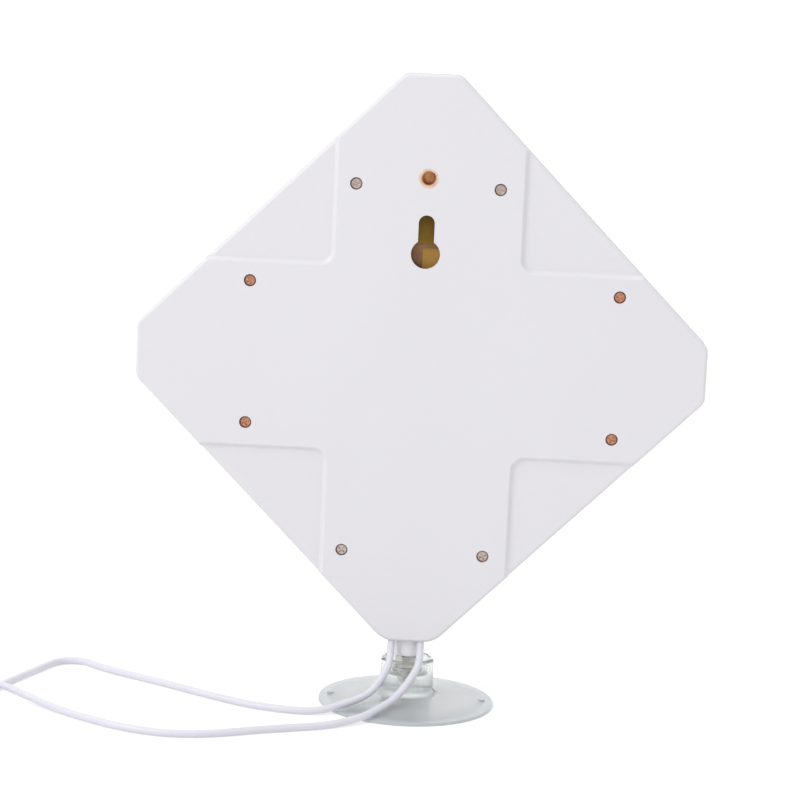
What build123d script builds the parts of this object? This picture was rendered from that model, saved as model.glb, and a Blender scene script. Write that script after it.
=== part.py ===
from build123d import *
import os
from math import atan2, cos, degrees, pi, radians, sin, sqrt, tan

# Flat-panel indoor antenna: a square radome standing on one corner, on a clear suction-cup foot,
# with two thin coaxial leads. Millimetres. +Z is up, +Y is the direction that the antenna faces,
# and the origin is the centre of the suction cup's underside. "back" faces -Y.

# ---------------------------------------------------------------- driving dimensions
panel_side = 190.0
panel_depth = 20.0
panel_lift = 29.25
outline_drop = 0.5
flat_half = 11.85
foot_flat_half = 11.1
corner_r = 5.5
foot_corner_r = 12.0
cover_lip = 0.2
wall = 2.0
floor_wall = 1.6
parting_w = 1.0
rear_round = 1.5
front_round = 4.0

cross_half = 40.4
cross_inner_r = 5.5
upright_band_u = 1.0
# The step from a pocket up to the cross: each stretch's rise, and its lean from the upright.
step_stretches = [(0.15, 68.0), (1.35, 45.0)]
step_round = 0.9

case_boss_r = 4.0
case_clearance_r = 1.7
screw_recess_d = 5.3
screw_recess_depth = 2.8
screw_head_d = 5.0
screw_head_h = 2.0
screw_shank_d = 2.9
screw_length = 10.0
screw_pilot_d = 2.5
end_screw_half = 30.6
end_screw_top = 74.75
end_screw_bottom = -83.9
side_screw_left = -74.3
side_screw_right = 83.4
side_screw_half = 30.7
side_screw_rise = 0.8

insert_d = 8.4
insert_bore_r = 3.0
insert_boss_r = 6.25
wall_insert_v = 78.2
wall_insert_length = 7.5
wall_insert_floor = 0.8
key_v = 46.0
key_circle_d = 12.4
key_slot_w = 6.8
key_height = 22.8

cup_r = 38.5
knob_r = 11.6
knob_top_z = 20.4
recess_floor_z = 13.7
recess_r = 9.4
stud_r = 2.92
stud_top_z = 30.0
washer_t = 1.0
nut_af = 10.0
nut_h = 5.2
socket_r = 6.2
socket_bottom_z = 21.6

clamp_v = -104.0
clamp_top_w = 4.6
clamp_t = 1.8
clamp_screw_u = (-13.2, 11.6)
clamp_boss_r = 2.5
clamp_pilot_r = 0.9

lead_d = 3.2
lead_tilt = 12.0
lead_x = {"left": -7.3, "right": 5.5}
lead_w = 6.88
stub_bottom_z = 29.0

coil_mean_r = 17.5
coil_half_w = 6.4
coil_h = 12.8
coil_corner_r = 1.6
coil_lift = 0.6
tie_t = 0.5
connector_z = 4.6

# ---------------------------------------------------------------- worked out from them
half_diagonal = panel_side / sqrt(2)
tip = half_diagonal - flat_half
foot_tip = half_diagonal - foot_flat_half
centre_z = panel_lift + foot_tip + outline_drop
half_depth = panel_depth / 2
lead_r = lead_d / 2
back = Plane(origin=(0, 0, centre_z), x_dir=(1, 0, 0), z_dir=(0, -1, 0))

parts = {}


def keep(name, *shapes):
    """Store one node, as one compound when it is several separate solids."""
    solids = [s for shape in shapes for s in shape.solids()]
    parts[name] = solids[0] if len(solids) == 1 else Compound(children=solids)


def outline(inset):
    """The square with its four corners cut flat, moved inwards by inset, in the panel's plane.
    It sits a little lower than the cross and the screws do, and its lower corner is cut less."""
    c = flat_half - inset * (sqrt(2) - 1)
    e = tip - inset
    foot_c = foot_flat_half - inset * (sqrt(2) - 1)
    foot_e = foot_tip - inset
    points = [(c, e), (e, c), (e, -c), (foot_c, -foot_e), (-foot_c, -foot_e), (-e, -c), (-e, c), (-c, e)]
    face = make_face(Polyline(*points, close=True))
    low = face.vertices().filter_by(lambda v: v.Y < -foot_e + 0.1)
    face = fillet(low, radius=foot_corner_r - inset)
    sharp = face.vertices().filter_by(lambda v: abs(v.X) > e - 0.1 or v.Y > e - 0.1)
    return Pos(0, -outline_drop) * fillet(sharp, radius=corner_r - inset)


def slab(sketch, w_low, w_high):
    """A sketch in the panel's plane, made solid between two depths; w grows towards the back."""
    return extrude(Pos(0, 0, w_low) * sketch, amount=w_high - w_low)


def rod(u, v, radius, w_low, w_high):
    return slab(Pos(u, v, 0) * Circle(radius), w_low, w_high)


def block(u_low, u_high, v_low, v_high, w_low, w_high):
    size = (u_high - u_low, v_high - v_low, w_high - w_low)
    centre = ((u_low + u_high) / 2, (v_low + v_high) / 2, (w_low + w_high) / 2)
    return Pos(*centre) * Box(*size)


def cross(half, inner_r):
    """The raised cross of the rear cover: two crossing bands with rounded inner corners."""
    long = 2 * tip + 20
    bands = Pos(upright_band_u, 0) * Rectangle(2 * half, long) + Rectangle(long, 2 * half)
    inner = bands.vertices().filter_by(lambda v: max(abs(v.X), abs(v.Y)) < half + 2 * upright_band_u)
    return fillet(inner, radius=inner_r)


# ---------------------------------------------------------------- where the case screws go
end_screws = [(s * end_screw_half, v) for s in (-1, 1) for v in (end_screw_top, end_screw_bottom)]
side_screws = [(u, side_screw_rise + s * side_screw_half) for s in (-1, 1)
               for u in (side_screw_left, side_screw_right)]
case_screws = end_screws + side_screws
boss_top_w = 3.0
head_seat_w = half_depth - screw_recess_depth
inner_floor_w = half_depth - floor_wall
pocket_w = half_depth - sum(rise for rise, lean in step_stretches)

# ---------------------------------------------------------------- antenna board, sizes only
board_half_diagonal = 87.7
board_cut = 68.0
board_back_w = 3.0
board_t = 1.6
copper_t = 0.15
board_screw_uv = 38.0
board_screws = [(a * board_screw_uv, b * board_screw_uv) for a in (-1, 1) for b in (-1, 1)]
board_front_w = board_back_w - board_t

# ---------------------------------------------------------------- stand socket: where it is held
flange_z = panel_lift + 3.5
flange_t = 3.0
socket_top_z = flange_z + flange_t
retainer_v = (socket_top_z - centre_z + 0.2, socket_top_z - centre_z + 1.7)

# ---------------------------------------------------------------- leads: where they pass the wall
wall_inner_z = panel_lift + wall
tilt_slope = tan(radians(lead_tilt))


def lead_y(z):
    """Depth of a lead's straight, tilted stretch through the bottom wall, at height z."""
    return -lead_w + (z - wall_inner_z) * tilt_slope


def along(axis_start, axis_end, radius):
    """A straight round bar between two points in the row's frame."""
    start = Vector(*axis_start)
    span = Vector(*axis_end) - start
    return extrude(Plane(origin=start, z_dir=span) * Circle(radius), amount=span.length)


def socket_hole():
    return along((0, 0, panel_lift - 2), (0, 0, panel_lift + 6), socket_r + 0.1)


def lead_hole(side):
    x = lead_x[side]
    low = (x, lead_y(panel_lift - 4), panel_lift - 4)
    high = (x, lead_y(panel_lift + 8), panel_lift + 8)
    return along(low, high, lead_r + 0.15)


# ---------------------------------------------------------------- rear cover
def raised_cross():
    """The cross, from the parting line up: a soft foot, a slope and a rounded crest."""
    run = sum(rise * tan(radians(lean)) for rise, lean in step_stretches)
    half = cross_half + run / 2
    inner_r = cross_inner_r - run / 2
    w = pocket_w
    body = slab(cross(half, inner_r), parting_w, w)
    for rise, lean in step_stretches:
        body += extrude(Pos(0, 0, w) * cross(half, inner_r), amount=rise, taper=lean)
        w += rise
        half -= rise * tan(radians(lean))
        inner_r += rise * tan(radians(lean))
    top = body.edges().group_by(Axis.Z)[-1]
    return fillet(top.filter_by(lambda e: max(abs(e.center().X), abs(e.center().Y)) < tip), radius=step_round)


def rounded_plate(top_w):
    """The rear cover's outline as a plate from the parting line up, with its upper edge rounded."""
    plate = slab(outline(cover_lip), parting_w, top_w)
    return fillet(plate.edges().group_by(Axis.Z)[-1], radius=rear_round)


def rear_cover():
    body = rounded_plate(pocket_w) + (rounded_plate(half_depth) & raised_cross())
    body -= slab(outline(cover_lip + wall), parting_w, pocket_w - floor_wall)
    raised_room = cross(cross_half - floor_wall, cross_inner_r + floor_wall) & outline(cover_lip + wall + 0.6)
    body -= slab(raised_room, parting_w, inner_floor_w)
    tongue_w = (-1.0, 3.0)
    body += slab(outline(wall + 0.15), *tongue_w) - slab(outline(wall + 1.25), *tongue_w)
    for u, v in case_screws:
        body += rod(u, v, case_boss_r, boss_top_w, inner_floor_w)
    body += rod(0, wall_insert_v, insert_boss_r, parting_w, inner_floor_w)
    for u in clamp_screw_u:
        body += rod(u, clamp_v, clamp_boss_r, clamp_top_w, inner_floor_w)
    body += block(-3.4, 3.4, *retainer_v, parting_w, inner_floor_w)
    for u, v in case_screws:
        body -= rod(u, v, screw_recess_d / 2, head_seat_w, half_depth)
        body -= rod(u, v, case_clearance_r, boss_top_w, head_seat_w)
    body -= rod(0, wall_insert_v, insert_d / 2, half_depth - wall_insert_length, half_depth)
    slot_top = key_v - key_circle_d / 2 + key_height
    slot_centre = (key_v + slot_top - key_slot_w / 2) / 2
    slot_span = slot_top - key_slot_w / 2 - key_v
    key = Pos(0, key_v) * Circle(key_circle_d / 2)
    key += Pos(0, slot_centre) * Rectangle(key_slot_w, slot_span)
    key += Pos(0, slot_top - key_slot_w / 2) * Circle(key_slot_w / 2)
    body -= slab(key, inner_floor_w - 1, half_depth + 1)
    for u in clamp_screw_u:
        body -= rod(u, clamp_v, clamp_pilot_r, clamp_top_w, clamp_top_w + 3)
    body = back * body - socket_hole()
    for side in lead_x:
        body -= lead_hole(side)
    return body


# ---------------------------------------------------------------- front cover, the radome
def front_cover():
    body = slab(outline(0), -half_depth, parting_w)
    body = fillet(body.edges().group_by(Axis.Z)[0], radius=front_round)
    body -= slab(outline(wall), -half_depth + wall, parting_w)
    for u, v in case_screws:
        body += rod(u, v, 3.5, -half_depth + wall, boss_top_w)
        body -= rod(u, v, screw_pilot_d / 2, -4.0, boss_top_w)
    for u, v in board_screws:
        body += rod(u, v, 3.0, -half_depth + wall, board_front_w)
        body -= rod(u, v, 0.9, -3.5, board_front_w)
    body += block(-8, 8, *retainer_v, -half_depth + wall, -0.6)
    return back * body - socket_hole()


keep("rear_cover", rear_cover())
keep("front_cover", front_cover())


# ---------------------------------------------------------------- screws
def pan_screw(head_d, head_h, shank_d, length):
    """A cross-recessed pan-head screw: head above z = 0, shank below it."""
    head = Cylinder(head_d / 2, head_h, align=(Align.CENTER, Align.CENTER, Align.MIN))
    head = fillet(head.edges().group_by(Axis.Z)[-1], radius=head_h * 0.45)
    shank = Cylinder(shank_d / 2, length, align=(Align.CENTER, Align.CENTER, Align.MAX))
    arm = Box(head_d * 0.62, head_d * 0.16, head_h, align=(Align.CENTER, Align.CENTER, Align.MIN))
    drive = Pos(0, 0, head_h * 0.5) * (arm + Rot(0, 0, 90) * arm)
    return head + shank - drive


def screws_at(places, seat_w, turn_step, screw):
    return [back * Pos(u, v, seat_w) * Rot(0, 0, 20 + turn_step * i) * screw
            for i, (u, v) in enumerate(places)]


case_screw = pan_screw(screw_head_d, screw_head_h, screw_shank_d, screw_length)
keep("case_screws_ends", *screws_at(end_screws, head_seat_w, 31, case_screw))
keep("case_screws_sides", *screws_at(side_screws, head_seat_w, 47, case_screw))
board_screw = pan_screw(4.0, 1.5, 2.1, 6.0)
keep("board_screws", *screws_at(board_screws, board_back_w, 23, board_screw))


# ---------------------------------------------------------------- wall-mount thread insert
def thread_insert(length, floor_t=0.0):
    """A brass insert, mouth at the top, blind when it has a floor: a chamfered mouth and a waist groove."""
    body = Cylinder(insert_d / 2, length, align=(Align.CENTER, Align.CENTER, Align.MAX))
    body -= Cylinder(insert_bore_r, length - floor_t, align=(Align.CENTER, Align.CENTER, Align.MAX))
    mouth = body.edges().group_by(Axis.Z)[-1].sort_by(SortBy.RADIUS)[0]
    body = chamfer(mouth, length=0.35)
    groove = Cylinder(insert_d / 2, 0.8) - Cylinder(insert_d / 2 - 0.4, 0.8)
    return body - Pos(0, 0, -length / 2) * groove


wall_insert = thread_insert(wall_insert_length, wall_insert_floor)
keep("wall_mount_insert", back * Pos(0, wall_insert_v, half_depth) * wall_insert)

# ---------------------------------------------------------------- stand socket and its insert
socket = along((0, 0, socket_bottom_z), (0, 0, socket_top_z), socket_r)
socket = chamfer(socket.edges().group_by(Axis.Z)[0], length=0.5)
flange_y = (-4.4, 7.0)
flange = Pos(0, sum(flange_y) / 2, flange_z + flange_t / 2) * Box(16, flange_y[1] - flange_y[0], flange_t)
socket_insert_length = 9.0
socket += flange
socket -= along((0, 0, socket_bottom_z), (0, 0, socket_bottom_z + socket_insert_length), insert_d / 2)
keep("stand_socket", socket)
socket_insert = Pos(0, 0, socket_bottom_z) * Rot(180, 0, 0) * thread_insert(socket_insert_length)
keep("stand_socket_insert", socket_insert)

# ---------------------------------------------------------------- suction-cup foot
rim_t = 1.1
cavity_r = 34.0
cavity_top_z = 1.9
dome_top_z = 4.4
section_lines = [
    Line((0, cavity_top_z), (0, recess_floor_z)),
    Line((0, recess_floor_z), (recess_r, recess_floor_z)),
    Line((recess_r, recess_floor_z), (recess_r, knob_top_z)),
    Line((recess_r, knob_top_z), (knob_r, knob_top_z)),
    Line((knob_r, knob_top_z), (knob_r, dome_top_z)),
    ThreePointArc((knob_r, dome_top_z), (27.0, 2.8), (cup_r, rim_t)),
    Line((cup_r, rim_t), (cup_r, 0)),
    Line((cup_r, 0), (cavity_r, 0)),
    ThreePointArc((cavity_r, 0), (24.0, 1.15), (12.0, cavity_top_z)),
    Line((12.0, cavity_top_z), (0, cavity_top_z)),
]
cup_section = make_face(section_lines)
section_rounds = {(knob_r, dome_top_z): 3.2, (knob_r, knob_top_z): 1.5, (recess_r, knob_top_z): 0.5,
                  (cup_r, rim_t): 0.5}
for (r, z), radius in section_rounds.items():
    cup_section = fillet(cup_section.vertices().sort_by_distance((r, z, 0))[0], radius=radius)
cup = revolve(Plane.XZ * cup_section, axis=Axis.Z)
side_hole_r = 1.9
side_hole_z = 6.0
cup -= along((-knob_r - 3, 0, side_hole_z), (knob_r + 3, 0, side_hole_z), side_hole_r)
pip_r = 33.4
for s in (-1, 1):
    cup += Pos(s * pip_r, 0, 1.2) * Cylinder(1.5, 1.4, align=(Align.CENTER, Align.CENTER, Align.MIN))
stud_root_z = recess_floor_z - 4.0
stud_flange_t = 1.5
cup -= along((0, 0, stud_root_z), (0, 0, recess_floor_z + 1), stud_r)
keep("suction_cup", cup)

stud = along((0, 0, stud_root_z), (0, 0, stud_top_z), stud_r)
stud = chamfer(stud.edges().group_by(Axis.Z)[-1], length=0.5)
stud += along((0, 0, recess_floor_z), (0, 0, recess_floor_z + stud_flange_t), 8.0)
keep("foot_stud", stud)

washer_z = recess_floor_z + stud_flange_t
washer = along((0, 0, washer_z), (0, 0, washer_z + washer_t), 6.5)
keep("foot_washer", washer - along((0, 0, washer_z), (0, 0, washer_z + washer_t), 3.2))

nut_z = washer_z + washer_t


def hex_nut(af, height, bore_r):
    body = extrude(RegularPolygon(af / sqrt(3), 6), amount=height)
    rounding = Cylinder(af * 0.555, height, align=(Align.CENTER, Align.CENTER, Align.MIN))
    rounding = chamfer(rounding.edges().filter_by(GeomType.CIRCLE), length=0.4)
    hole = Cylinder(bore_r, height, align=(Align.CENTER, Align.CENTER, Align.MIN))
    return (body & rounding) - hole


keep("foot_lock_nut", Pos(0, 0, nut_z) * Rot(0, 0, 12) * hex_nut(nut_af, nut_h, 3.0))

# ---------------------------------------------------------------- antenna board and its copper
b = board_half_diagonal
c = board_cut
board_points = [(b - c, c), (c, b - c), (c, c - b), (b - c, -c),
                (c - b, -c), (-c, c - b), (-c, b - c), (c - b, c)]
board = slab(make_face(Polyline(*board_points, close=True)), board_front_w, board_back_w)
for u, v in board_screws:
    board -= rod(u, v, 1.3, board_front_w, board_back_w)
keep("antenna_board", back * board)

arm_start = 7.0
arm_end = 58.0
arm_half = 4.5
front_copper = (board_front_w - copper_t, board_front_w)
rear_copper = (board_back_w, board_back_w + copper_t)
radiator_reaches = [(-arm_end, -arm_start), (arm_start, arm_end)]
keep("vertical_radiator",
     *[back * block(-arm_half, arm_half, *reach, *front_copper) for reach in radiator_reaches])
keep("horizontal_radiator",
     *[back * block(*reach, -arm_half, arm_half, *front_copper) for reach in radiator_reaches])

feed_v = -32.5
feed_u = {"left": -16.0, "right": 14.0}
track_v = [(-18.5, -13.5, -35.5, -29.5), (-17.0, -15.0, -29.5, -13.0), (-17.0, -7.5, -15.0, -13.0),
           (-7.5, -1.3, -15.0, 49.7), (-1.3, 20.0, 48.1, 49.7), (18.4, 20.0, 30.0, 48.1)]
track_h = [(11.5, 16.5, -35.5, -29.5), (13.0, 15.0, -29.5, -9.0), (8.0, 15.0, -9.0, -7.0),
           (8.0, 52.0, -7.0, -1.0), (50.4, 52.0, -1.0, 18.0)]
for name, rectangles in {"vertical_feed_track": track_v, "horizontal_feed_track": track_h}.items():
    stretches = [block(*rectangle, *rear_copper) for rectangle in rectangles]
    keep(name, back * sum(stretches[1:], stretches[0]))
solder_blobs = []
for side in lead_x:
    blob = rod(feed_u[side], feed_v, 1.7, rear_copper[1], rear_copper[1] + 1.1)
    solder_blobs.append(back * fillet(blob.edges().group_by(Axis.Z)[-1], radius=0.8))
keep("solder_joints", *solder_blobs)


# ---------------------------------------------------------------- round tubes along a route
def tube(name, points, diameter):
    """A round tube along straight runs joined by arcs, each as large as its two runs allow."""
    radii = []
    for a, mid, z in zip(points, points[1:], points[2:]):
        before = Vector(*mid) - Vector(*a)
        after = Vector(*z) - Vector(*mid)
        turn = radians(before.get_angle(after))
        radii.append(0.45 * min(before.length, after.length) / tan(turn / 2))
    path = FilletPolyline(*points, radius=radii)
    solid = sweep(Plane(origin=path @ 0, z_dir=path % 0) * Circle(diameter / 2), path=path)
    swept = pi * diameter ** 2 / 4 * path.length
    print(f"{name}: length {path.length:.1f}, volume / swept {solid.volume / swept:.4f},",
          "radii", [round(r, 1) for r in radii])
    keep(name, solid)
    return path.length


# ---------------------------------------------------------------- leads inside the case
bend_z = wall_inner_z + 1.8
inner_y = lead_y(bend_z)
for side, x in lead_x.items():
    u_end = feed_u[side]
    stub_bottom = (x, lead_y(stub_bottom_z), stub_bottom_z)
    keep(f"{side}_lead_stub", along(stub_bottom, (x, -lead_w, wall_inner_z), lead_r))
    inner = [(x, -lead_w, wall_inner_z), (x, inner_y, bend_z), (x, inner_y, centre_z - 97),
             (u_end, inner_y, centre_z - 80), (u_end, inner_y, centre_z - 42)]
    tube(f"{side}_inner_lead", inner, lead_d)
    core = [(u_end, inner_y, centre_z - 42), (u_end, inner_y, centre_z - 38.5),
            (u_end, -rear_copper[1] - 1.3, centre_z + feed_v - 1.2),
            (u_end, -rear_copper[1] - 0.5, centre_z + feed_v - 0.2)]
    tube(f"{side}_inner_core", core, 1.0)

clamp_u = (clamp_screw_u[0] - 3.2, clamp_screw_u[1] + 3.2)
clamp = block(*clamp_u, clamp_v - 3.5, clamp_v + 3.5, clamp_top_w - clamp_t, clamp_top_w)
clamp = fillet(clamp.edges().filter_by(Axis.Z), radius=1.5)
for u in clamp_screw_u:
    clamp -= rod(u, clamp_v, 1.2, clamp_top_w - clamp_t, clamp_top_w)
keep("cable_clamp", back * clamp)
clamp_screw = Rot(180, 0, 0) * pan_screw(3.6, 1.4, 2.1, clamp_t + 2.6)
keep("clamp_screws", *[back * Pos(u, clamp_v, clamp_top_w - clamp_t) * clamp_screw for u in clamp_screw_u])

# ---------------------------------------------------------------- free leads
stub_y = lead_y(stub_bottom_z)
coil_centre = {"left": (-198.4, -61.8), "right": (-217.8, 30.6)}
coil_entry_z = coil_lift + lead_r
routes = {
    "left": [
        (-7.3, stub_y, 29.0), (-7.3, lead_y(25.6), 25.6), (-7.4, -9.9, 22.2), (-7.9, -12.6, 19.0),
        (-9.9, -14.4, 15.1), (-12.3, -16.1, 11.3), (-15.6, -18.0, 7.7), (-21.0, -20.7, 5.2),
        (-27.0, -23.7, 3.8), (-35.2, -27.9, 2.0), (-45.0, -28.9, 1.6), (-57.0, -26.6, 1.6),
        (-71.0, -21.4, 1.6), (-93.0, -6.9, 1.6), (-113.5, 7.2, 1.6), (-127.0, 15.2, 1.6),
        (-140.2, 24.4, 1.6), (-146.8, 31.1, 1.6), (-152.0, 32.5, 1.6), (-157.3, 31.4, 1.6),
        (-161.4, 27.9, 1.6), (-165.0, 18.5, 1.6), (-170.0, 6.4, 1.6), (-175.4, -7.4, 1.6),
        (-180.0, -20.5, 1.6), (-180.6, -34.5, 1.6), (-178.0, -48.5, 1.8), (-176.4, -58.3, coil_entry_z)],
    "right": [
        (5.5, stub_y, 29.0), (5.5, lead_y(25.6), 25.6), (5.45, -10.1, 22.3), (4.75, -13.7, 19.1),
        (1.7, -16.6, 14.2), (-1.7, -19.6, 9.8), (-5.8, -23.6, 6.3), (-10.9, -29.6, 4.4),
        (-17.1, -37.3, 2.9), (-25.7, -43.5, 1.8), (-34.2, -49.1, 1.6), (-44.5, -53.2, 1.6),
        (-61.0, -59.6, 1.6), (-79.0, -68.6, 1.6), (-97.5, -71.2, 1.6), (-116.0, -65.6, 1.6),
        (-134.0, -54.6, 1.6), (-149.5, -42.5, 1.7), (-162.0, -31.6, 2.8), (-175.6, -24.4, 5.4),
        (-183.4, -16.6, 5.4), (-194.5, -9.0, 2.8), (-211.8, 1.2, 1.7), (-228.5, 11.0, coil_entry_z)],
}
seen_length = {side: tube(f"{side}_lead", route, lead_d) for side, route in routes.items()}

# ---------------------------------------------------------------- coils, ties and tails
tail_offsets = [(-18.3, -12.8, 11.8), (-24.6, -5.0, 10.4), (-28.4, 4.2, 6.6),
                (-27.6, 12.6, connector_z), (-23.4, 19.9, connector_z)]
tie_angle = {"left": 70.0, "right": 300.0}
coil_low = coil_lift
coil_high = coil_lift + coil_h


def ring_section(grow):
    width = 2 * (coil_half_w + grow)
    height = coil_h + 2 * grow
    section = RectangleRounded(width, height, coil_corner_r + grow)
    return Plane.XZ * Pos(coil_mean_r, (coil_low + coil_high) / 2) * section


for side, (x, y) in coil_centre.items():
    keep(f"{side}_lead_coil", Pos(x, y, 0) * revolve(ring_section(0), axis=Axis.Z))
    band = revolve(ring_section(tie_t) - ring_section(0), axis=Axis.Z, revolution_arc=14)
    keep(f"{side}_coil_tie", Pos(x, y, 0) * Rot(0, 0, tie_angle[side]) * band)
    tail = [(x + dx, y + dy, z) for dx, dy, z in tail_offsets]
    tail_length = tube(f"{side}_lead_tail", tail, lead_d)

# ---------------------------------------------------------------- coaxial connectors on the leads
heading = degrees(atan2(tail_offsets[-1][1] - tail_offsets[-2][1], tail_offsets[-1][0] - tail_offsets[-2][0]))


def barrel(r, start, end):
    """A round bar along the connector's own axis, local +X."""
    return along((start, 0, 0), (end, 0, 0), r)


def lengthwise(solid, name, x, y):
    keep(name, Pos(x, y, connector_z) * Rot(0, 0, heading) * solid)


# Stations along the connector, from the end of the lead's jacket.
sleeve_taper_end = 9.0
sleeve_end = 12.0
ferrule_end = 17.0
pin_start = 20.0
neck_start = 20.3
nut_start = 20.6
nut_lip_end = 22.1
collar_start = 22.4
collar_end = 23.0
insulator_end = 26.2
socket_end = 26.4
pin_end = 28.2
nut_end = 28.8
sleeve_r = 2.7
pin_r = 0.46
bore_r = 2.0

for side, (x, y) in coil_centre.items():
    place = (x + tail_offsets[-1][0], y + tail_offsets[-1][1])
    sleeve = Cone(bore_r, sleeve_r, sleeve_taper_end, align=(Align.CENTER, Align.CENTER, Align.MIN))
    sleeve = Rot(0, 90, 0) * sleeve + barrel(sleeve_r, sleeve_taper_end, sleeve_end)
    lengthwise(sleeve, f"{side}_connector_sleeve", *place)
    lengthwise(barrel(2.45, sleeve_end, ferrule_end), f"{side}_connector_ferrule", *place)
    shell = barrel(3.3, ferrule_end, neck_start) + barrel(2.6, neck_start, collar_start)
    shell += barrel(2.85, collar_start, collar_end) + barrel(2.35, collar_end, socket_end)
    shell -= barrel(bore_r, collar_end, socket_end)
    shell -= barrel(pin_r, pin_start, collar_end)
    lengthwise(shell, f"{side}_connector_body", *place)
    insulator = barrel(bore_r, collar_end, insulator_end) - barrel(pin_r, collar_end, insulator_end)
    lengthwise(insulator, f"{side}_connector_insulator", *place)
    pin = barrel(pin_r, pin_start, pin_end)
    pin = chamfer(pin.edges().group_by(Axis.X)[-1], length=0.2)
    lengthwise(pin, f"{side}_connector_pin", *place)
    nut = Rot(0, 90, 0) * extrude(RegularPolygon(8.0 / sqrt(3), 6), amount=nut_end - nut_start)
    nut = Pos(nut_start, 0, 0) * nut & chamfer(barrel(4.45, nut_start, nut_end).edges(), length=0.4)
    nut -= barrel(2.68, nut_start, nut_lip_end)
    nut -= barrel(3.15, nut_lip_end, nut_end)
    lengthwise(nut, f"{side}_coupling_nut", *place)

# ---------------------------------------------------------------- lead lengths and files
full_length = 2000.0
for side, seen in seen_length.items():
    outside = sqrt((panel_lift - stub_bottom_z) ** 2 + (lead_y(panel_lift) - stub_y) ** 2)
    coiled = full_length - seen - outside - tail_length
    turns = coiled / (2 * pi * coil_mean_r)
    print(f"{side}: route {seen + outside:.1f}, tail {tail_length:.1f},",
          f"coiled {coiled:.1f}, turns {turns:.1f}")

os.makedirs("parts", exist_ok=True)
for name, solid in parts.items():
    export_step(solid, f"parts/{name}.step")
print(len(parts), "nodes; connector heading", round(heading, 2), "centre_z", round(centre_z, 2))
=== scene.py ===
import math

import bpy
from mathutils import Matrix, Vector


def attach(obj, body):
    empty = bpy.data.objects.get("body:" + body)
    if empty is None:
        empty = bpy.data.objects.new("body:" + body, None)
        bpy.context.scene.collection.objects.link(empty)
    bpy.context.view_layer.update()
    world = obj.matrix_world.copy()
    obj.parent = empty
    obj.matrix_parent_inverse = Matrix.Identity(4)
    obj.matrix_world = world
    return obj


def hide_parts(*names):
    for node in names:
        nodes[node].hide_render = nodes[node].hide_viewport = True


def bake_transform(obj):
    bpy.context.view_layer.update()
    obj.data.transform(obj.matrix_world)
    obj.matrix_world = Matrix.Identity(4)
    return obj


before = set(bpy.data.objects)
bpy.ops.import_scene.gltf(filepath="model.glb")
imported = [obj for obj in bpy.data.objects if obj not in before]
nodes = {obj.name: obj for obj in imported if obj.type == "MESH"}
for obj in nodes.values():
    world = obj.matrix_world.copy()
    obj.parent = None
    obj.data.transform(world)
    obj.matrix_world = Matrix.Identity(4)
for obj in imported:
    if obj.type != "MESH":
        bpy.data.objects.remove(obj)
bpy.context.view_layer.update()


def smooth(t):
    """0 below 0, 1 above 1, and an eased step between."""
    t = min(max(t, 0.0), 1.0)
    return t * t * (3 - 2 * t)


# ---------------------------------------------------------------- camera
camera_azimuth = math.radians(-1.493)
camera_elevation = math.radians(8.853)
camera_roll = math.radians(2.529)
camera_distance = 1.0
camera_target = Vector((-0.00831, 0, 0.13443))


def add_camera():
    forward = Vector((math.sin(camera_azimuth) * math.cos(camera_elevation),
                      math.cos(camera_azimuth) * math.cos(camera_elevation),
                      -math.sin(camera_elevation)))
    level = Vector((math.cos(camera_azimuth), -math.sin(camera_azimuth), 0))
    up = level.cross(forward)
    right = level * math.cos(camera_roll) + up * math.sin(camera_roll)
    up = up * math.cos(camera_roll) - level * math.sin(camera_roll)
    turned = Matrix((right, up, -forward)).transposed().to_4x4()
    data = bpy.data.cameras.new("camera")
    data.sensor_width = 36.0
    data.lens = 103.8
    data.clip_start = 0.05
    data.clip_end = 20.0
    camera = bpy.data.objects.new("camera", data)
    camera.matrix_world = Matrix.Translation(camera_target - forward * camera_distance) @ turned
    bpy.context.scene.collection.objects.link(camera)
    bpy.context.scene.camera = camera


add_camera()

# ---------------------------------------------------------------- leads: routes in millimetres
lead_d = 0.0032
coil_mean_r = 0.0175
coil_slots = 4
coil_steps = 14
coil_lift = 0.0006
tail_angle = 215.0
# A turn's move to its next place begins one stagger after its neighbour's does. The turn, less its
# last part, holds this many staggers, and a move lasts this many of them.
staggers_in_turn = 9.5
staggers_in_move = 3.5

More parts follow.
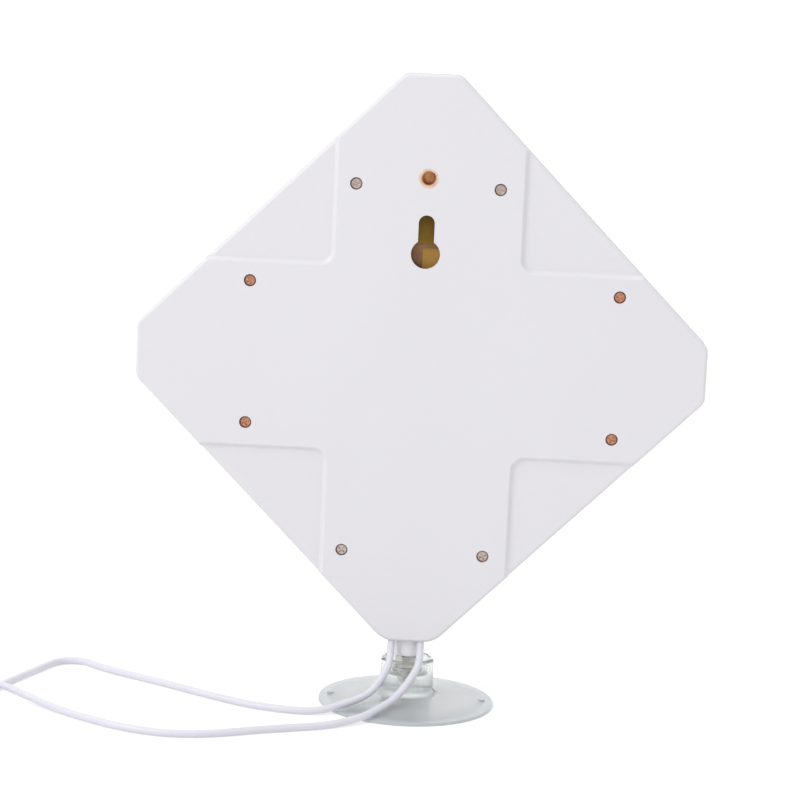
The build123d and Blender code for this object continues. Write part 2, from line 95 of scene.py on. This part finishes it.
# The first point of each route is inside the case's bottom wall. The last is where the coil begins.
lead_routes = {
    "left": [
        (-7.3, -6.88, 31.25), (-7.3, -8.08, 25.6), (-7.4, -9.9, 22.2), (-7.9, -12.6, 19.0),
        (-9.9, -14.4, 15.1), (-12.3, -16.1, 11.3), (-15.6, -18.0, 7.7), (-21.0, -20.7, 5.2),
        (-27.0, -23.7, 3.8), (-35.2, -27.9, 2.0), (-45.0, -28.9, 1.6), (-57.0, -26.6, 1.6),
        (-71.0, -21.4, 1.6), (-93.0, -6.9, 1.6), (-113.5, 7.2, 1.6), (-127.0, 15.2, 1.6),
        (-140.2, 24.4, 1.6), (-146.8, 31.1, 1.6), (-152.0, 32.5, 1.6), (-157.3, 31.4, 1.6),
        (-161.4, 27.9, 1.6), (-165.0, 18.5, 1.6), (-170.0, 6.4, 1.6), (-175.4, -7.4, 1.6),
        (-180.0, -20.5, 1.6), (-180.6, -34.5, 1.6), (-178.0, -48.5, 1.8), (-176.4, -58.3, 2.2)],
    "right": [
        (5.5, -6.88, 31.25), (5.5, -8.08, 25.6), (5.45, -10.1, 22.3), (4.75, -13.7, 19.1),
        (1.7, -16.6, 14.2), (-1.7, -19.6, 9.8), (-5.8, -23.6, 6.3), (-10.9, -29.6, 4.4),
        (-17.1, -37.3, 2.9), (-25.7, -43.5, 1.8), (-34.2, -49.1, 1.6), (-44.5, -53.2, 1.6),
        (-61.0, -59.6, 1.6), (-79.0, -68.6, 1.6), (-97.5, -71.2, 1.6), (-116.0, -65.6, 1.6),
        (-134.0, -54.6, 1.6), (-149.5, -42.5, 1.7), (-162.0, -31.6, 2.8), (-175.6, -24.4, 5.4),
        (-183.4, -16.6, 5.4), (-194.5, -9.0, 2.8), (-211.8, 1.2, 1.7), (-228.5, 11.0, 2.2)],
}
wall_insert_z = 0.2312
knob_radius = 0.0118
coil_centre = {"left": (-0.1984, -0.0618), "right": (-0.2178, 0.0306)}
coil_entry_angle = {"left": 9.0, "right": 241.3}
coil_turns = 15
tail_offsets = [(-24.6, -5.0, 10.4), (-28.4, 4.2, 6.6), (-27.6, 12.6, 4.6), (-23.4, 19.9, 4.6)]


def slot_of(number):
    """Column and row of a turn in the coil's square section: rows are wound in and out by turns."""
    row = number // coil_slots
    column = number % coil_slots
    return (coil_slots - 1 - column if row % 2 == 0 else column), row


def coil_points(side):
    """Control points of a coil, from the outer turn at its foot to the outer turn at its top.
    Every turn moves over to the next one's place, in an order that keeps two turns from crossing."""
    entry = coil_entry_angle[side]
    last_part = (entry - tail_angle) % 360
    stagger = (360 - last_part) / staggers_in_turn
    window = stagger * staggers_in_move
    corner = 1 / math.cos(math.pi / coil_steps)
    x, y = coil_centre[side]
    points = []
    step = 360 / coil_steps
    travel = step
    while travel < coil_turns * 360 + last_part:
        turn = int(travel // 360)
        here = slot_of(turn)
        there = slot_of(min(turn + 1, coil_slots ** 2 - 1))
        climbs = here[1] != there[1]
        start = last_part + stagger * (2 * (coil_slots - 1 - here[1]) - climbs)
        share = smooth((travel % 360 - start) / window)
        column = here[0] + (there[0] - here[0]) * share
        row = here[1] + (there[1] - here[1]) * share
        r = coil_mean_r + (column - (coil_slots - 1) / 2) * lead_d
        z = coil_lift + lead_d / 2 + row * lead_d
        angle = math.radians(entry - travel)
        points.append((x + r * corner * math.cos(angle), y + r * corner * math.sin(angle), z))
        travel += step
    return points


def lead_points(side):
    """The whole lead: its route over the table, its coil and the tail that ends in the connector."""
    route = [tuple(v / 1000 for v in point) for point in lead_routes[side]]
    x, y = coil_centre[side]
    tail = [(x + a / 1000, y + b / 1000, c / 1000) for a, b, c in tail_offsets]
    return route + coil_points(side) + tail


def nurbs_line(points, resolution):
    """The points along a smooth spline that has these control points."""
    data = bpy.data.curves.new("route", "CURVE")
    data.dimensions = "3D"
    data.resolution_u = resolution
    spline = data.splines.new("NURBS")
    spline.points.add(len(points) - 1)
    for point, place in zip(spline.points, points):
        point.co = (*place, 1)
    spline.order_u = 3
    spline.use_endpoint_u = True
    holder = bpy.data.objects.new("route", data)
    bpy.context.scene.collection.objects.link(holder)
    bpy.context.view_layer.update()
    line = [v.co.copy() for v in bpy.data.meshes.new_from_object(holder).vertices]
    bpy.data.objects.remove(holder)
    return line


def tube(name, line, radius, sides=14):
    """A round tube along a line, with the distance along it kept on its vertices as "along"."""
    tangents = [(b - a).normalized() for a, b in zip(line, line[1:])]
    tangents = [tangents[0]] + [(a + b).normalized() for a, b in zip(tangents, tangents[1:])] + [tangents[-1]]
    across = tangents[0].orthogonal().normalized()
    vertices = []
    lengths = []
    length = 0.0
    for i, (place, tangent) in enumerate(zip(line, tangents)):
        across = (across - tangent * across.dot(tangent)).normalized()
        beside = tangent.cross(across)
        length += (place - line[i - 1]).length if i else 0.0
        for k in range(sides):
            turn = 2 * math.pi * k / sides
            vertices.append(place + (across * math.cos(turn) + beside * math.sin(turn)) * radius)
            lengths.append(length)
    faces = []
    for i in range(len(line) - 1):
        for k in range(sides):
            low = i * sides + k
            side = i * sides + (k + 1) % sides
            faces.append((low, side, side + sides, low + sides))
    faces.append(tuple(reversed(range(sides))))
    faces.append(tuple(range(len(vertices) - sides, len(vertices))))
    mesh = bpy.data.meshes.new(name)
    mesh.from_pydata(vertices, [], faces)
    mesh.polygons.foreach_set("use_smooth", [True] * (len(faces) - 2) + [False] * 2)
    mesh.attributes.new("along", "FLOAT", "POINT").data.foreach_set("value", lengths)
    mesh.update()
    piece = bpy.data.objects.new(name, mesh)
    bpy.context.scene.collection.objects.link(piece)
    return piece


def add_lead(side):
    line = nurbs_line(lead_points(side), 6)
    lead = tube(f"{side}_coax_lead", line, lead_d / 2)
    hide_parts(f"{side}_lead_stub", f"{side}_lead", f"{side}_lead_coil", f"{side}_lead_tail")
    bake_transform(lead)
    return lead


leads = {side: add_lead(side) for side in lead_routes}


def add_thread():
    """The M6 thread on the wall insert's bore: one ridge that winds from the mouth to the blind end."""
    bore_r, crest_r, pitch = 0.00302, 0.00262, 0.001
    mouth_y, end_y = -0.0095, -0.0038
    steps = 48
    turns = (end_y - mouth_y) / pitch
    section = [(bore_r, -0.00044), (crest_r, -0.00008), (crest_r, 0.00008), (bore_r, 0.00044)]
    vertices = []
    count = round(turns * steps)
    for i in range(count + 1):
        turn = 2 * math.pi * i / steps
        run_out = min(1.0, 4 * i / steps, 4 * (count - i) / steps)
        for r, offset in section:
            reach = bore_r - (bore_r - r) * run_out
            y = mouth_y + pitch * i / steps + offset
            vertices.append((reach * math.cos(turn), y, wall_insert_z + reach * math.sin(turn)))
    faces = []
    for i in range(count):
        for k in range(4):
            low = 4 * i + k
            side = 4 * i + (k + 1) % 4
            faces.append((low, side, side + 4, low + 4))
    faces.append((3, 2, 1, 0))
    faces.append(tuple(range(4 * count, 4 * count + 4)))
    mesh = bpy.data.meshes.new("wall_insert_thread")
    mesh.from_pydata(vertices, [], faces)
    mesh.update()
    thread = bpy.data.objects.new("wall_insert_thread", mesh)
    bpy.context.scene.collection.objects.link(thread)
    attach(thread, "panel")
    return thread


thread = add_thread()

# ---------------------------------------------------------------- node graph helpers


class Look:
    """A material with one Principled shader, with short calls for the textures that feed it."""

    def __init__(self, name, **constants):
        self.material = bpy.data.materials.new(name)
        self.material.use_nodes = True
        self.tree = self.material.node_tree
        self.shader = self.tree.nodes["Principled BSDF"]
        for socket, value in constants.items():
            self.shader.inputs[socket.replace("_", " ")].default_value = value
        self.place = self.tree.nodes.new("ShaderNodeTexCoord").outputs["Object"]

    def feed(self, node, socket, value):
        target = node.inputs[socket]
        if isinstance(value, bpy.types.NodeSocket):
            self.tree.links.new(value, target)
        elif isinstance(value, tuple) and len(value) == 3 and target.type == "RGBA":
            target.default_value = (*value, 1)
        else:
            target.default_value = value

    def node(self, kind, **inputs):
        made = self.tree.nodes.new("ShaderNode" + kind)
        for socket, value in inputs.items():
            self.feed(made, socket.replace("_", " "), value)
        return made

    def stretched(self, x, y, z, turn=(0, 0, 0)):
        """The object's coordinates with each axis scaled, which draws a texture out along the small ones."""
        return self.node("Mapping", Vector=self.place, Scale=(x, y, z), Rotation=turn).outputs["Vector"]

    def noise(self, scale, detail=2.0, rough=0.5, place=None):
        made = self.node("TexNoise", Vector=place or self.place, Scale=scale, Detail=detail, Roughness=rough)
        return made.outputs["Fac"]

    def between(self, share, low, high, start=0.35, end=0.65):
        """A number that goes from low to high as share goes from start to end."""
        made = self.node("MapRange", Value=share)
        for socket, value in (("From Min", start), ("From Max", end), ("To Min", low), ("To Max", high)):
            made.inputs[socket].default_value = value
        return made.outputs["Result"]

    def colours(self, share, *stops):
        """A colour ramp: stops are (position, colour)."""
        made = self.node("ValToRGB", Fac=share)
        ramp = made.color_ramp
        while len(ramp.elements) < len(stops):
            ramp.elements.new(0.5)
        for element, (position, colour) in zip(ramp.elements, stops):
            element.position = position
            element.color = (*colour, 1)
        return made.outputs["Color"]

    def mixed(self, share, a, b, blend="MIX"):
        made = self.tree.nodes.new("ShaderNodeMix")
        made.data_type = "RGBA"
        made.blend_type = blend
        for socket, value in (("Factor_Float", share), ("A_Color", a), ("B_Color", b)):
            target = next(i for i in made.inputs if i.identifier == socket)
            if isinstance(value, bpy.types.NodeSocket):
                self.tree.links.new(value, target)
            else:
                target.default_value = (*value, 1) if isinstance(value, tuple) else value
        return next(o for o in made.outputs if o.identifier == "Result_Color")

    def maths(self, operation, a, b=0.0):
        made = self.tree.nodes.new("ShaderNodeMath")
        made.operation = operation
        self.feed(made, 0, a)
        self.feed(made, 1, b)
        return made.outputs[0]

    def set(self, socket, value):
        self.feed(self.shader, socket, value)

    def bump(self, height, strength, distance, under=None):
        made = self.node("Bump", Height=height, Strength=strength, Distance=distance)
        if under is not None:
            self.tree.links.new(under, made.inputs["Normal"])
        self.tree.links.new(made.outputs["Normal"], self.shader.inputs["Normal"])
        return made.outputs["Normal"]


# ---------------------------------------------------------------- materials, one for each slot


def moulded_white(name, painted_brightening):
    """Off-white ABS: a fine spark-eroded grain, flow marks a few centimetres long, a faint mottling."""
    look = Look(name, Specular_IOR_Level=0.42)
    flow = look.noise(9.0, 3.0, 0.55, look.stretched(1.0, 1.0, 0.45))
    # painted_brightening scales all three colours; above 1 it is painted light, a lit copy of this white
    darker, lighter, spots = ([part * painted_brightening for part in colour] for colour in (
        (0.653, 0.641, 0.672), (0.673, 0.663, 0.690), (0.619, 0.612, 0.632)))
    tint = look.colours(flow, (0.3, darker), (0.7, lighter))
    mottle = look.noise(310.0, 3.0)
    look.set("Base Color", look.mixed(look.between(mottle, 0.0, 0.10), tint, tuple(spots)))
    look.set("Roughness", look.between(look.noise(60.0, 4.0), 0.40, 0.52))
    grain = look.bump(look.noise(2300.0, 2.0), 0.25, 0.00006)
    look.bump(look.noise(38.0, 2.0), 0.12, 0.0004, grain)
    return look.material


def plated_steel(name, dark, light):
    """Zinc-plated steel, dull, with fine turning marks and a few darker, rougher patches."""
    look = Look(name, Metallic=1.0)
    patch = look.noise(420.0, 4.0, 0.6)
    look.set("Base Color", look.colours(patch, (0.3, dark), (0.7, light)))
    turning = look.noise(900.0, 3.0, 0.6, look.stretched(0.3, 0.3, 3.0))
    look.set("Roughness", look.between(turning, 0.28, 0.46))
    look.bump(turning, 0.25, 0.00004)
    return look.material


def copper_plate():
    """Copper-toned plating with brighter patches of wear."""
    look = Look("copper_plate", Metallic=1.0)
    patch = look.noise(700.0, 4.0, 0.6)
    look.set("Base Color", look.colours(patch, (0.3, (0.46, 0.205, 0.125)), (0.7, (0.64, 0.33, 0.22))))
    look.set("Roughness", look.between(look.noise(1600.0, 3.0), 0.30, 0.45))
    look.bump(look.noise(2600.0, 2.0), 0.15, 0.00003)
    return look.material


def turned_brass():
    """Turned brass, painted a darker brown inside the bore as painted shade, with fine tool marks round it.
    """
    look = Look("turned_brass", Metallic=1.0)
    patch = look.noise(350.0, 4.0, 0.6)
    face_brass = look.colours(patch, (0.3, (0.72, 0.48, 0.33)), (0.7, (0.88, 0.68, 0.53)))
    brown = look.colours(patch, (0.3, (0.44, 0.18, 0.08)), (0.7, (0.60, 0.28, 0.145)))
    depth = look.node("SeparateXYZ", Vector=look.place).outputs["Y"]
    # painted shade: past the bore's mouth, deeper in, the brass goes over to the darker brown
    look.set("Base Color", look.mixed(look.between(depth, 0.0, 1.0, -0.0098, -0.0090), face_brass, brown))
    marks = look.noise(1500.0, 2.0, 0.5, look.stretched(0.4, 4.0, 0.4))
    look.set("Roughness", look.between(marks, 0.26, 0.42))
    look.bump(marks, 0.2, 0.00003)
    return look.material


def laminate():
    """Glass-epoxy board under a lacquer: golden-brown low down, darker olive-brown higher up with a soft fade
    between, and the weave of the glass cloth showing through.
    """
    look = Look("laminate", Specular_IOR_Level=0.15)
    threads = []
    for axis in ("X", "Z"):
        wave = look.node("TexWave", Vector=look.place, Scale=420.0, Distortion=0.6, Detail=1.0)
        wave.bands_direction = axis
        threads.append(wave.outputs["Fac"])
    weave = look.maths("MULTIPLY", *threads)
    height = look.node("SeparateXYZ", Vector=look.place).outputs["Z"]
    dark = look.colours(look.noise(85.0, 3.0), (0.3, (0.190, 0.108, 0.004)), (0.7, (0.270, 0.158, 0.010)))
    golden = look.colours(look.noise(85.0, 3.0), (0.3, (0.610, 0.335, 0.070)), (0.7, (0.730, 0.415, 0.115)))
    # golden below 199.5 mm and darker olive above 202.5 mm; the olive keeps a share of golden that fades out
    # by 212 mm
    dark = look.mixed(look.between(height, 0.30, 0.0, 0.2030, 0.2120), dark, golden)
    lacquer = look.mixed(look.between(height, 0.0, 1.0, 0.1995, 0.2025), golden, dark)
    raised = look.between(weave, 0.0, 0.35, 0.2, 0.8)
    look.set("Base Color", look.mixed(raised, lacquer, (0.340, 0.210, 0.030)))
    look.set("Roughness", look.between(weave, 0.30, 0.42))
    look.bump(weave, 0.15, 0.00004)
    return look.material


def etched_copper():
    """Copper foil under lacquer: mauve-brown, a little uneven, and smoother than the board."""
    look = Look("etched_copper", Metallic=0.55)
    patch = look.noise(260.0, 4.0, 0.6)
    look.set("Base Color", look.colours(patch, (0.3, (0.225, 0.110, 0.052)), (0.7, (0.305, 0.160, 0.085))))
    look.set("Roughness", look.between(look.noise(900.0, 2.0), 0.30, 0.44))
    look.bump(look.noise(1800.0, 2.0), 0.1, 0.00003)
    return look.material


def tin_solder():
    look = Look("tin_solder", Metallic=1.0)
    patch = look.noise(1200.0, 4.0)
    look.set("Base Color", look.colours(patch, (0.3, (0.60, 0.60, 0.61)), (0.7, (0.78, 0.78, 0.78))))
    look.set("Roughness", look.between(patch, 0.18, 0.36))
    look.bump(patch, 0.2, 0.00005)
    return look.material


def natural_nylon():
    """The cable clamp's milky nylon."""
    look = Look("natural_nylon", Subsurface_Weight=0.2, Subsurface_Scale=0.002)
    cloud = look.noise(240.0, 3.0)
    look.set("Base Color", look.colours(cloud, (0.3, (0.70, 0.69, 0.64)), (0.7, (0.77, 0.76, 0.72))))
    look.set("Roughness", look.between(look.noise(900.0, 2.0), 0.38, 0.50))
    look.bump(look.noise(1900.0, 2.0), 0.15, 0.00004)
    return look.material


def jacket():
    """The leads' soft PVC: white with a cool tint, faint draw lines along it and small scuffs."""
    look = Look("jacket", Specular_IOR_Level=0.45, Subsurface_Weight=0.12, Subsurface_Scale=0.0012)
    along = look.tree.nodes.new("ShaderNodeAttribute")
    along.attribute_name = "along"
    stretch = look.node("CombineXYZ", X=along.outputs["Fac"])
    cloud = look.noise(26.0, 3.0, 0.6, stretch.outputs["Vector"])
    tint = look.colours(cloud, (0.3, (0.615, 0.610, 0.680)), (0.7, (0.655, 0.647, 0.708)))
    scuff = look.noise(520.0, 4.0, 0.6)
    look.set("Base Color", look.mixed(look.between(scuff, 0.0, 0.18, 0.55, 0.75), tint, (0.54, 0.53, 0.60)))
    look.set("Roughness", look.between(scuff, 0.30, 0.46))
    look.bump(look.noise(1500.0, 3.0), 0.18, 0.00005)
    return look.material


def wire_insulation():
    look = Look("wire_insulation", Subsurface_Weight=0.3, Subsurface_Scale=0.001)
    cloud = look.noise(600.0, 3.0)
    look.set("Base Color", look.colours(cloud, (0.3, (0.80, 0.80, 0.77)), (0.7, (0.88, 0.88, 0.86))))
    look.set("Roughness", look.between(cloud, 0.30, 0.42))
    look.bump(look.noise(2400.0, 2.0), 0.1, 0.00003)
    return look.material


def clear_pvc():
    """The cup's soft clear PVC: a polished knob on a milky satin foot and disc, with a cool green tint."""
    look = Look("clear_pvc", IOR=1.42, Specular_IOR_Level=0.5, Coat_Roughness=0.16)
    level = look.node("VectorMath", Vector=look.place)
    level.operation = "MULTIPLY"
    level.inputs[1].default_value = (1, 1, 0)
    reach = look.tree.nodes.new("ShaderNodeVectorMath")
    reach.operation = "LENGTH"
    look.tree.links.new(level.outputs["Vector"], reach.inputs[0])
    disc = look.between(reach.outputs["Value"], 0.0, 1.0, knob_radius, knob_radius + 0.004)
    height = look.node("SeparateXYZ", Vector=look.place).outputs["Z"]
    satin_share = look.maths("MAXIMUM", disc, look.between(height, 1.0, 0.0, 0.0125, 0.0145))
    haze = look.noise(45.0, 3.0, 0.5)
    knob = look.colours(haze, (0.3, (0.86, 0.90, 0.90)), (0.7, (0.92, 0.94, 0.94)))
    satin = look.colours(haze, (0.3, (0.64, 0.66, 0.675)), (0.7, (0.71, 0.73, 0.74)))
    # painted shade: from 26 mm out to the rim, the satin darkens to a blue-grey
    painted_rim_shade = look.between(reach.outputs["Value"], 0.0, 1.0, 0.026, 0.0385)
    satin = look.mixed(painted_rim_shade, satin, (0.49, 0.53, 0.56))
    look.set("Base Color", look.mixed(disc, knob, satin))
    clarity = look.node("MapRange", Value=disc)
    clarity.inputs["To Min"].default_value = 0.95
    clarity.inputs["To Max"].default_value = 0.60
    look.set("Transmission Weight", clarity.outputs["Result"])
    look.set("Coat Weight", look.maths("MULTIPLY", disc, 0.6))
    polish = look.node("MapRange", Value=satin_share)
    polish.inputs["To Min"].default_value = 0.07
    polish.inputs["To Max"].default_value = 0.34
    rubbed = look.between(look.noise(260.0, 4.0), -0.02, 0.05)
    look.set("Roughness", look.maths("ADD", polish.outputs["Result"], rubbed))
    look.bump(look.noise(60.0, 2.0, 0.5, look.stretched(1.0, 1.0, 0.3)), 0.08, 0.0003)
    return look.material


def ribbon_tie():
    look = Look("ribbon_tie", Specular_IOR_Level=0.3)
    wave = look.node("TexWave", Vector=look.place, Scale=900.0, Distortion=1.5, Detail=2.0)
    wave.bands_direction = "Z"
    weave = wave.outputs["Fac"]
    look.set("Base Color", look.colours(weave, (0.2, (0.70, 0.70, 0.71)), (0.8, (0.83, 0.83, 0.84))))
    look.set("Roughness", look.between(look.noise(1400.0, 3.0), 0.60, 0.78))
    look.bump(weave, 0.4, 0.0001)
    return look.material


def shrink_sleeve():
    """Black heat-shrink: a soft sheen, with the ripples that shrinking leaves."""
    look = Look("shrink_sleeve", Specular_IOR_Level=0.4)
    ripple = look.noise(420.0, 3.0, 0.5)
    look.set("Base Color", look.colours(ripple, (0.3, (0.012, 0.012, 0.013)), (0.7, (0.026, 0.026, 0.028))))
    look.set("Roughness", look.between(look.noise(1300.0, 3.0), 0.36, 0.52))
    look.bump(ripple, 0.3, 0.00015)
    return look.material


def gold_finish():
    look = Look("gold_finish", Metallic=1.0)
    patch = look.noise(520.0, 4.0, 0.6)
    look.set("Base Color", look.colours(patch, (0.3, (0.76, 0.53, 0.22)), (0.7, (0.92, 0.72, 0.36))))
    look.set("Roughness", look.between(look.noise(1500.0, 3.0), 0.18, 0.32))
    look.bump(look.noise(2200.0, 2.0), 0.12, 0.00003)
    return look.material


looks = {
    "white_shell": moulded_white("moulded_white", 1.0),
    "grey_steel": plated_steel("plated_steel", (0.48, 0.395, 0.355), (0.63, 0.525, 0.475)),
    "copper_screw": copper_plate(),
    "brass_insert": turned_brass(),
    "board_laminate": laminate(),
    "board_copper": etched_copper(),
    "solder": tin_solder(),
    "inner_plastic": natural_nylon(),
    "lead_jacket": jacket(),
    "insulation": wire_insulation(),
    "clear_cup": clear_pvc(),
    "tie": ribbon_tie(),
    "sleeve": shrink_sleeve(),
    "gold_plate": gold_finish(),
}

for node in nodes.values():
    for slot in node.material_slots:
        slot.material = looks[slot.material.name]
# painted light: the stand socket gets a copy of the moulded white made 1.22 times brighter, to make up for
# the shade it sits in under the panel
nodes["stand_socket"].material_slots[0].material = moulded_white("socket_white_painted_light", 1.22)
foot_steel = plated_steel("foot_steel", (0.66, 0.63, 0.59), (0.80, 0.77, 0.73))
for name in ("foot_stud", "foot_washer", "foot_lock_nut"):
    nodes[name].material_slots[0].material = foot_steel
for lead in leads.values():
    lead.data.materials.append(looks["lead_jacket"])
thread.data.materials.append(looks["brass_insert"])

# ---------------------------------------------------------------- plain floor and soft studio light
floor_reach = 30.0
panel_centre = Vector((0, 0, 0.153))


def add_floor():
    """A pale floor that gives a little light of its own, so that it stays white up to its far edge."""
    data = bpy.data.meshes.new("floor")
    data.from_pydata([(-floor_reach, -floor_reach, 0), (floor_reach, -floor_reach, 0),
                      (floor_reach, floor_reach, 0), (-floor_reach, floor_reach, 0)], [], [(0, 1, 2, 3)])
    floor = bpy.data.objects.new("floor", data)
    bpy.context.scene.collection.objects.link(floor)
    look = Look("floor_paper", Specular_IOR_Level=0.0, Roughness=1.0, Emission_Strength=0.46)
    look.set("Emission Color", (1.0, 1.0, 1.0))
    cloud = look.noise(14.0)
    look.set("Base Color", look.colours(cloud, (0.3, (0.50, 0.50, 0.50)), (0.7, (0.52, 0.52, 0.52))))
    data.materials.append(look.material)


def add_light(name, direction, distance, size, power, colour=(1, 1, 1)):
    """A square lamp that faces the panel from a direction."""
    data = bpy.data.lights.new(name, "AREA")
    data.size = size
    data.energy = power
    data.color = colour
    lamp = bpy.data.objects.new(name, data)
    towards = Vector(direction).normalized()
    lamp.location = panel_centre + towards * distance
    lamp.rotation_euler = towards.to_track_quat("Z", "Y").to_euler()
    bpy.context.scene.collection.objects.link(lamp)


def add_world():
    """A white room: bright overhead and behind the object, dimmer behind the camera."""
    world = bpy.data.worlds.new("studio")
    bpy.context.scene.world = world
    world.use_nodes = True
    tree = world.node_tree
    direction = tree.nodes.new("ShaderNodeTexCoord")
    parts = tree.nodes.new("ShaderNodeSeparateXYZ")
    tree.links.new(direction.outputs["Generated"], parts.inputs[0])
    shares = []
    for axis, steps in (("Y", (0.55, 0.92, 0.0, 0.40)), ("Z", (0.10, 0.95, 0.66, 1.38))):
        share = tree.nodes.new("ShaderNodeMapRange")
        tree.links.new(parts.outputs[axis], share.inputs["Value"])
        for socket, value in zip(("From Min", "From Max", "To Min", "To Max"), steps):
            share.inputs[socket].default_value = value
        shares.append(share.outputs["Result"])
    strength = tree.nodes.new("ShaderNodeMath")
    strength.operation = "ADD"
    tree.links.new(shares[0], strength.inputs[0])
    tree.links.new(shares[1], strength.inputs[1])
    tree.links.new(strength.outputs[0], tree.nodes["Background"].inputs["Strength"])
    tree.nodes["Background"].inputs["Color"].default_value = (1, 1, 1, 1)


add_floor()
add_world()
add_light("key", (-0.70, -0.50, 0.50), 2.2, 0.9, 16.0)
bpy.context.scene.view_settings.view_transform = "Standard"
